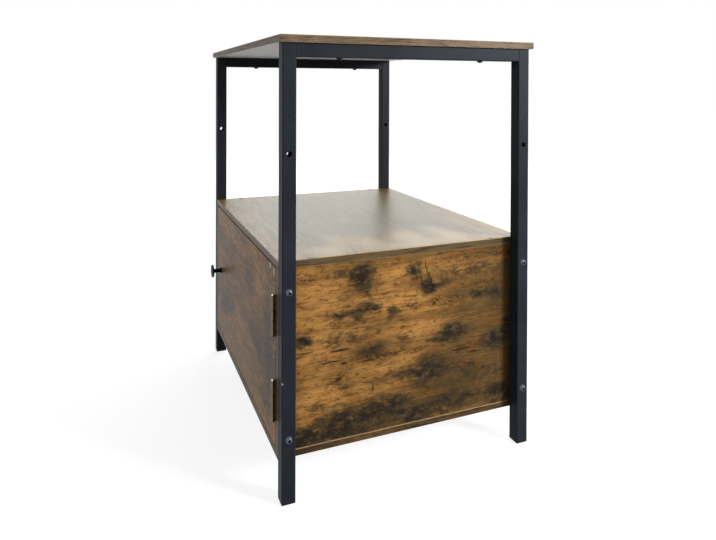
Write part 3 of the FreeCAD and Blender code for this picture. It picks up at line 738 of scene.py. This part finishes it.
# %% [markdown]
# ## Hardboard back
# The cabinet's back is a thin sheet of pressed wood fibre. It is an even brown
# with short fibres lying every way and small dark flecks, and it is duller than
# the boards because it has no resin on it.

# %% Hardboard
hardboard, tree, surface, point, _ = finish("pressed_hardboard_sheet")
FIBRE_MM, FIBRE_RELIEF_MM, FLECK_MM, TONE_MM = 2.5, 0.15, 5.0, 90
BEND_MM, BEND_REACH_MM = 8, 9
FLECK_DARK = {"From Min": 0.1, "From Max": 0.22, "To Min": 0.6, "To Max": 0.0}
bend = add(tree, "TexNoise", {"Vector": point, "Scale": 1 / BEND_MM, "Detail": 2.0}, "Color")
bent = add(tree, "VectorMath", {0: bend, 1: [BEND_REACH_MM] * 3, 2: point}, operation="MULTIPLY_ADD")
fibre = add(tree, "TexNoise", {"Vector": bent, "Scale": 1 / FIBRE_MM, "Detail": 3.0, "Roughness": 0.7})
cloud = add(tree, "TexNoise", {"Vector": point, "Scale": 1 / TONE_MM, "Detail": 2.0})
blend = add(tree, "Mix", {"Factor": 0.35, 2: fibre, 3: cloud})
tint = add(tree, "ValToRGB", {"Fac": blend}, stops=[(0.35, "#5e4429"), (0.65, "#83613d")])
fleck = add(tree, "TexVoronoi", {"Vector": bent, "Scale": 1 / FLECK_MM}, "Distance")
fleck = add(tree, "MapRange", {"Value": fleck, **FLECK_DARK})
tint = add(tree, "Mix", {"Factor": fleck, 6: tint, 7: linear("#38281a")}, **BLEND)
gloss = add(tree, "MapRange", {"Value": fibre, "To Min": 0.55, "To Max": 0.75})
relief = add(tree, "Bump", {"Strength": 0.4, "Distance": FIBRE_RELIEF_MM * MM, "Height": fibre})
tree.links.new(tint, surface["Base Color"])
tree.links.new(gloss, surface["Roughness"])
tree.links.new(relief, surface["Normal"])
surface["Specular IOR Level"].default_value = 0.2
dress(hardboard, "cabinet_back_panel")

# %% [markdown]
# ## Hinges of bronzed steel
# The leaves and barrels are steel stained brown-black in an oil bath, with the
# stain uneven. The front of the barrel is painted a warm brown as painted light,
# and the side towards the leg stays nearly black as painted shade.

# %% Bronzed steel
bronzed, tree, surface, point, facing = finish("oil_bronzed_steel_hinge")
STAIN_MM = 6.0
stain = add(tree, "TexNoise", {"Vector": point, "Scale": 1 / STAIN_MM, "Detail": 4.0})
# Painted light and shade: faces turned to the front get the warm brown, faces turned to the side the
# near black.
front = add(tree, "SeparateXYZ", {0: facing}, give=1)
front = add(tree, "MapRange", {"Value": front, "From Min": 0.3, "From Max": -0.3})
front = add(tree, "Math", {0: front, 1: stain}, operation="MULTIPLY")
worn_and_lit = add(tree, "ValToRGB", {"Fac": front}, stops=[(0.05, "#251e16"), (0.45, "#6b6150")])
gloss = add(tree, "MapRange", {"Value": stain, "To Min": 0.3, "To Max": 0.5})
tree.links.new(worn_and_lit, surface["Base Color"])
tree.links.new(gloss, surface["Roughness"])
surface["Metallic"].default_value = 1.0
LEAVES = [f"{at}_hinge_{on}_leaf" for at in ("upper", "lower") for on in ("side", "door")]
dress(bronzed, *LEAVES)

# %% [markdown]
# ## Small metal and plastic pieces
# Bolts, screws, pins, the knob, the caps, the feet and the catch are small, but
# none of them is one flat colour. They share one recipe: a cloudy tint between
# two colours, a fine grain in gloss and relief, edges polished by handling, and
# painted shade in corners and recesses. The painted shade is found with ambient
# occlusion, which asks how shut in a point is, and edges with a bevel that bends
# the normal near them.

# %% Recipe for small pieces
EDGE_MM, CORNER_MM, CORNER_PAINTED_SHADE, GRAINS_IN_CLOUD = 0.35, 3, "#0c0b0a", 6
BEVEL_SAMPLES = 4
EDGE_RUB = {"From Min": 0.98, "From Max": 0.8, "To Max": 0.7}
CORNER_SHADE_LEVEL = {"From Min": 0.85, "From Max": 0.45, "To Max": 0.95}


def small_piece(name, dark, light, edge, metal, gloss, grain_mm, relief_mm, specular=0.5):
    """A tinted finish with polished edges and painted shade in the corners."""
    made, tree, surface, point, _ = finish(name)
    cloud_mm = GRAINS_IN_CLOUD * grain_mm
    cloud = add(tree, "TexNoise", {"Vector": point, "Scale": 1 / cloud_mm, "Detail": 3.0})
    fine = {"Scale": 1 / grain_mm, "Detail": 3.0, "Roughness": 0.6}
    grain = add(tree, "TexNoise", {"Vector": point, **fine})
    tint = add(tree, "ValToRGB", {"Fac": cloud}, stops=[(0.35, dark), (0.65, light)])
    bent = add(tree, "Bevel", {"Radius": EDGE_MM * MM}, samples=BEVEL_SAMPLES)
    straight = add(tree, "NewGeometry", give="Normal")
    same = add(tree, "VectorMath", {0: bent, 1: straight}, "Value", operation="DOT_PRODUCT")
    rubbed = add(tree, "MapRange", {"Value": same, **EDGE_RUB})
    rubbed = add(tree, "Math", {0: rubbed, 1: cloud}, operation="MULTIPLY")
    tint = add(tree, "Mix", {"Factor": rubbed, 6: tint, 7: linear(edge)}, **BLEND)
    # Painted shade: corners and recesses are darkened toward near black.
    open_to_air = add(tree, "AmbientOcclusion", {"Distance": CORNER_MM * MM}, "AO", samples=AO_SAMPLES)
    painted_shade = add(tree, "MapRange", {"Value": open_to_air, **CORNER_SHADE_LEVEL})
    tint = add(tree, "Mix", {"Factor": painted_shade, 6: tint, 7: linear(CORNER_PAINTED_SHADE)}, **BLEND)
    rough = add(tree, "MapRange", {"Value": grain, "To Min": gloss[0], "To Max": gloss[1]})
    skin = add(tree, "Bump", {"Strength": 0.3, "Distance": relief_mm * MM, "Height": grain})
    tree.links.new(tint, surface["Base Color"])
    tree.links.new(rough, surface["Roughness"])
    tree.links.new(skin, surface["Normal"])
    surface["Metallic"].default_value = metal
    surface["Specular IOR Level"].default_value = specular
    return made


print("edges of small pieces are rubbed over", EDGE_MM, "mm")

# %% Small pieces
# Each row: pieces, two tints, edge colour, metallic, roughness from and to, grain
# and relief (mm), and the specular level where it isn't the usual 0.5.
SMALL_PIECES = {
    # Dark zinc plating: grey button heads with a soft gleam on the dome, and the socket made black
    # with painted shade.
    "dark_zinc_plated_bolt": (
        ["leg_bolts"], "#42484d", "#535a60", "#a4abb0", 1.0, (0.45, 0.55), 0.5, 0.02,
    ),
    # Zinc plating: pale blue-grey with a soft, slightly cloudy shine.
    "zinc_plated_steel": (
        [
            "leg_bolt_inserts", "cabinet_top_screws", "cabinet_bottom_screws", "hinge_side_screws",
            "hinge_door_screws", "catch_screws", "strike_plate", "strike_screw", "knob_screw",
        ],
        "#a9adb1", "#c4c7c9", "#dcdddd", 1.0, (0.25, 0.42), 0.6, 0.02,
    ),
    # Nickel: warm white metal, polished, so the domed heads of the pins catch the light.
    "nickel_plated_pin": (
        ["upper_hinge_pin", "lower_hinge_pin"],
        "#bdb7a6", "#d2cdbf", "#e4e0d4", 1.0, (0.15, 0.28), 0.5, 0.01,
    ),
    # Black oxide: a thin, dull black skin, brown-grey where the driver has turned.
    "black_oxide_screw": (
        ["top_board_screws"], "#1c1c1e", "#2a2a2c", "#5a5855", 1.0, (0.4, 0.55), 0.5, 0.02,
    ),
    # Painted zinc casting: satin black, with the paint thin on the rim of the disc.
    "black_painted_knob": (
        ["door_knob"], "#121215", "#1a1a1e", "#38383a", 0.0, (0.34, 0.46), 0.7, 0.03, 0.03,
    ),
    # Polyethylene: waxy, soft black, scuffed grey on the edge by the floor.
    "moulded_polyethylene_foot": (
        [f"{side}_{end}_foot_plug" for side in ("left", "right") for end in ("front", "rear")],
        "#0f0f10", "#161718", "#262626", 0.0, (0.45, 0.6), 0.8, 0.04, 0.15,
    ),
    # Moulded plastic caps: thin brown discs, redder and more even than the board they sit in.
    "brown_plastic_cap": (
        ["cabinet_screw_caps"], "#7c5c47", "#8c6a53", "#9a7a62", 0.0, (0.4, 0.5), 0.7, 0.03, 0.3,
    ),
    # The catch: dark brown moulded shell with a fine spark texture.
    "brown_moulded_catch": (
        ["catch_housing"], "#35291f", "#43342a", "#6a574a", 0.0, (0.5, 0.65), 0.6, 0.05,
    ),
    # Ferrite: sintered ceramic, dark grey and dry, with a grainy break.
    "sintered_ferrite_magnet": (
        ["catch_magnet"], "#34353a", "#44464b", "#6d6f72", 0.0, (0.5, 0.7), 0.4, 0.04,
    ),
}
for name, (pieces, *recipe) in SMALL_PIECES.items():
    dress(small_piece(name, *recipe), *pieces)

# %% [markdown]
# ## Beech dowels
# The dowels are hidden in the joints and only show when the cabinet is taken
# apart. Beech is pale pink-brown with short dark flecks along the rod, and it
# is left raw so that the glue can hold.

# %% Beech
beech, tree, surface, point, _ = finish("raw_beech_dowel")
RAY_LONG_MM, RAY_WIDE_MM, RAY_RELIEF_MM = 3.0, 0.4, 0.05
ray = (RAY_WIDE_MM, RAY_WIDE_MM, RAY_LONG_MM)
size = add(tree, "VectorMath", {0: point, 1: ray}, operation="DIVIDE")
rays = add(tree, "TexNoise", {"Vector": size, "Scale": 1.0, "Detail": 2.0})
tint = add(tree, "ValToRGB", {"Fac": rays}, stops=[(0.35, "#a97f57"), (0.6, "#caa37a")])
relief = add(tree, "Bump", {"Strength": 0.3, "Distance": RAY_RELIEF_MM * MM, "Height": rays})
tree.links.new(tint, surface["Base Color"])
tree.links.new(relief, surface["Normal"])
surface["Roughness"].default_value = 0.65
dress(beech, "cabinet_dowels")
